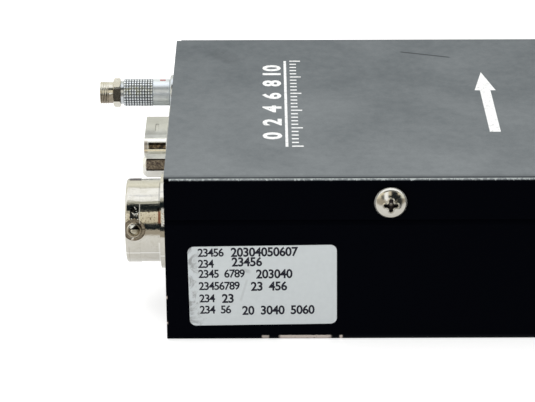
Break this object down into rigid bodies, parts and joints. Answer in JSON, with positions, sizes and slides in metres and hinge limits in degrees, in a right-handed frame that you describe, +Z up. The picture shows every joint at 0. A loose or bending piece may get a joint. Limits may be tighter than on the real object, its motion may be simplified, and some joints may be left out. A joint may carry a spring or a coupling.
{
  "type": "mass flow meter",
  "caption": "Thermal gas mass flow meter on one broad side: black sheet case, steel flow body with face-seal glands, round and D-shaped connectors and a push-pull plug.",
  "frame": {"origin": "under the middle of the part's bounding box, on the broad side that it lies on", "axes": "+X from the connector end to the flow body, +Y along the gas flow, +Z up out of the upper broad side"},
  "size_m": [0.1392, 0.124, 0.038],
  "materials": {
    "black_paint": "satin black paint on folded sheet",
    "label_film": "matt light grey label film",
    "bright_nickel": "bright nickel plate",
    "tinned_shell": "tin plate on drawn steel",
    "satin_chrome": "satin chrome plate",
    "warm_nickel": "worn nickel plate",
    "stainless_steel": "machined stainless steel",
    "zinc_steel": "zinc plated steel",
    "insert_moulding": "black moulded insulator",
    "contact_gold": "gold plate on copper alloy",
    "seal_rubber": "black elastomer",
    "coil_winding": "varnished wire",
    "sensor_can": "plain aluminium can",
    "board_laminate": "green solder resist",
    "component_black": "black component bodies"
  },
  "bodies": {
    "housing": {"cover_upper": "black_paint", "tray_lower": "black_paint", "connector_panel": "black_paint", "rating_label": "label_film", "cover_screws": "bright_nickel", "cover_nuts": "zinc_steel", "panel_screws": "zinc_steel", "tray_screws": "zinc_steel", "power_shell": "bright_nickel", "power_studs": "bright_nickel", "power_insert": "insert_moulding", "power_contacts": "contact_gold", "power_nut": "zinc_steel", "power_gasket": "seal_rubber", "signal_shell_front": "tinned_shell", "signal_shell_rear": "tinned_shell", "signal_insulator": "insert_moulding", "signal_pins": "contact_gold", "signal_jackscrew": "tinned_shell", "signal_nut": "zinc_steel", "service_socket": "satin_chrome", "service_socket_nut": "satin_chrome", "service_insert": "insert_moulding", "service_contacts": "contact_gold", "plug_body": "satin_chrome", "plug_insert": "insert_moulding", "plug_collet_nut": "warm_nickel", "flow_body": "stainless_steel", "inlet_gland": "stainless_steel", "outlet_gland": "stainless_steel", "gland_seals": "seal_rubber", "bypass_element": "stainless_steel", "flow_screens": "stainless_steel", "sensor_block": "stainless_steel", "sensor_tube": "stainless_steel", "sensor_windings": "coil_winding", "sensor_cover": "sensor_can", "sensor_seals": "seal_rubber", "sensor_screws": "zinc_steel", "main_board": "board_laminate", "interface_board": "board_laminate", "board_header": "component_black", "board_spacers": "zinc_steel", "board_screws": "zinc_steel", "board_components": "component_black"},
    "release_sleeve": {"plug_sleeve": "satin_chrome"}
  },
  "joints": [
    {"name": "sleeve_slide", "type": "slide", "parent": "housing", "child": "release_sleeve", "axis": [-1, 0, 0], "range_m": [0, 0.0006]}
  ]
}
